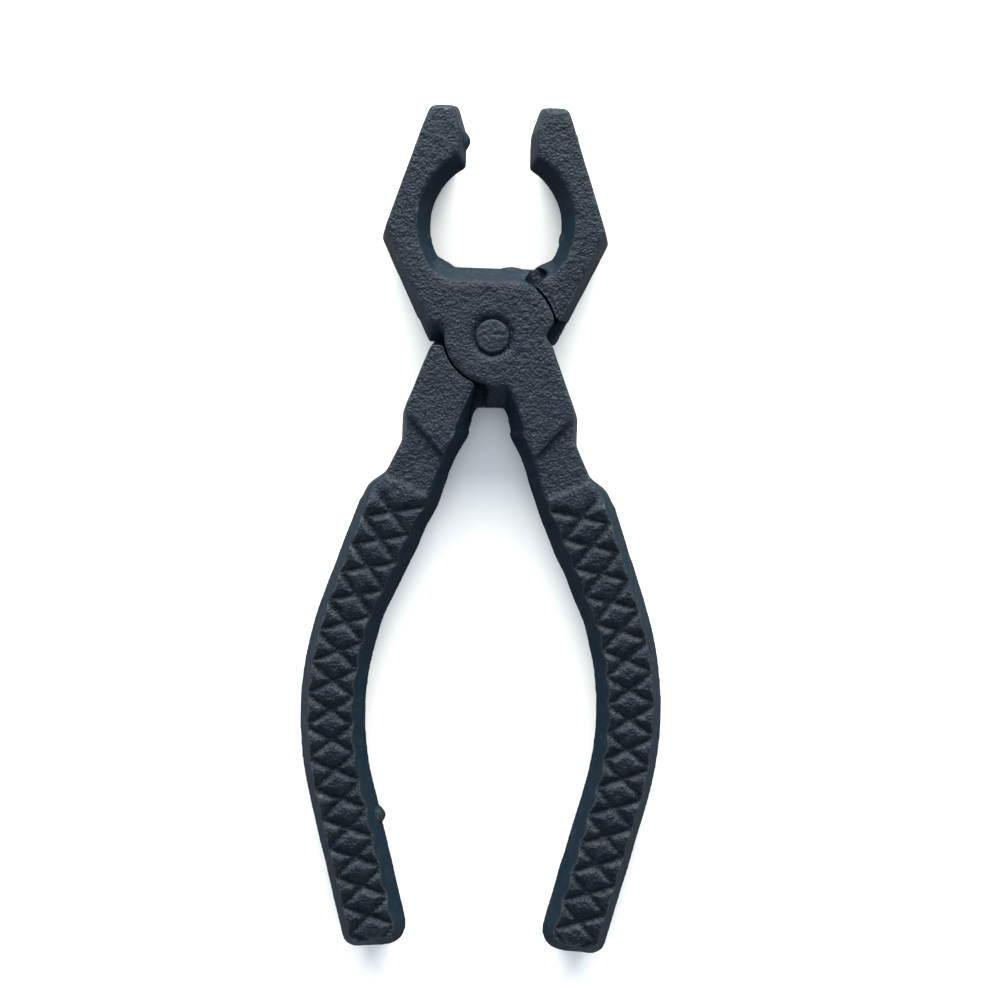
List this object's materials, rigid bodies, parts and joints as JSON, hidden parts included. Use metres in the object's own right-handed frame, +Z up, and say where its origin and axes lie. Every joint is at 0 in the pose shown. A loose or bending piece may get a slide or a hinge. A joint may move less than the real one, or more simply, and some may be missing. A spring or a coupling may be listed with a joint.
{
  "type": "blacksmith tongs",
  "caption": "Cast-iron lap-jointed tongs with hooked jaws around a round eye and bowed diamond-pattern grips, closing on a riveted pivot.",
  "frame": {"origin": "centre of the tool's outline on the surface it lies on", "axes": "+Y along the tool towards the jaws, +Z up out of the front face and along the pivot, +X to the right of the front face"},
  "size_m": [0.0854, 0.2, 0.014],
  "materials": {
    "iron": "as-cast, dark oiled",
    "rivet": "hammered, dark oiled"
  },
  "bodies": {
    "front_arm": {"front_half": "iron", "pivot_rivet": "rivet"},
    "rear_arm": {"rear_half": "iron"}
  },
  "joints": [
    {"name": "pivot", "type": "hinge", "parent": "front_arm", "child": "rear_arm", "pos_m": [0, 0.045, 0.007], "axis": [0, 0, 1], "range_deg": [-2, 10]}
  ]
}
